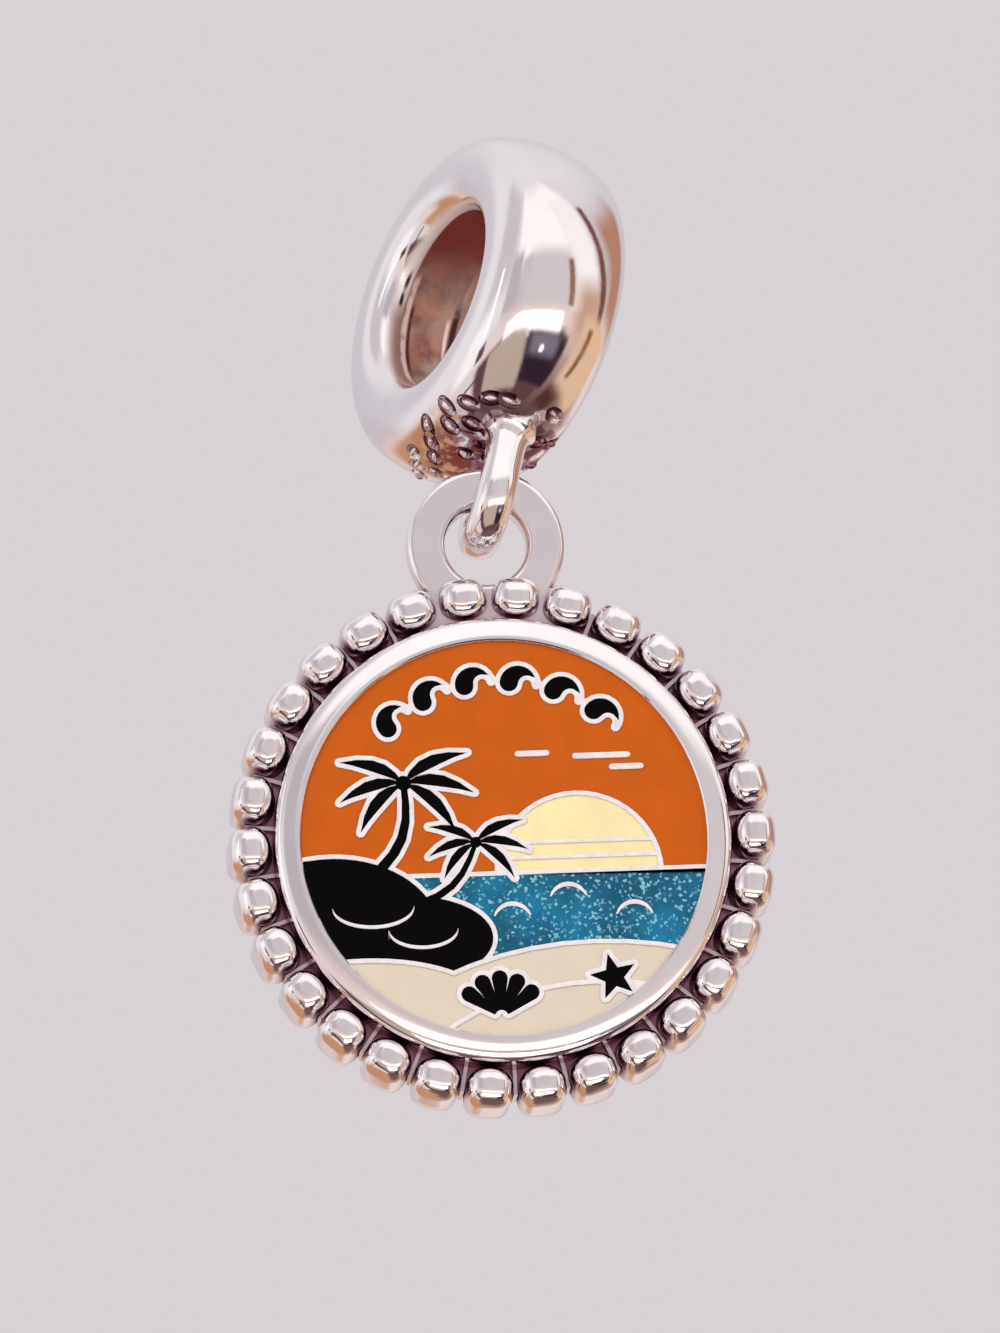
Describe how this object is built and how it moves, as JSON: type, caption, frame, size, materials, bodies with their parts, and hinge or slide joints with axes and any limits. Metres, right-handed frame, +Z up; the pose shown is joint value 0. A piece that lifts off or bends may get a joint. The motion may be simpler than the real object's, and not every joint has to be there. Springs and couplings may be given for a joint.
{
  "type": "dangle charm",
  "caption": "Silver dangle charm: a large-hole bail with a soldered loop, and a round medallion with beaded edge and an enamelled sunset beach, hanging by its eyelet.",
  "frame": {"origin": "centre of the bail's bore, where the charm is held", "axes": "+Z up, -Y towards the viewer of the medallion's enamelled face, +X to that viewer's right"},
  "size_m": [0.014, 0.009, 0.0263],
  "materials": {
    "silver": "polished silver, darkened in the recesses",
    "enamel_orange": "opaque glossy enamel",
    "enamel_pale": "opaque glossy enamel",
    "enamel_sea": "glossy enamel with glitter",
    "enamel_cream": "opaque glossy enamel",
    "enamel_black": "opaque glossy enamel"
  },
  "bodies": {
    "bail": {"bail": "silver"},
    "pendant": {"medallion": "silver", "enamel_sky": "enamel_orange", "enamel_sun": "enamel_pale", "enamel_sea": "enamel_sea", "enamel_sand": "enamel_cream", "enamel_headland": "enamel_black", "enamel_scroll": "enamel_black", "enamel_shell": "enamel_black", "enamel_starfish": "enamel_black"}
  },
  "joints": [
    {"name": "pendant_swing", "type": "hinge", "parent": "bail", "child": "pendant", "pos_m": [-0.0003, -0.00168, -0.00521], "axis": [1, 0, 0], "range_deg": [-65, 65]}
  ]
}
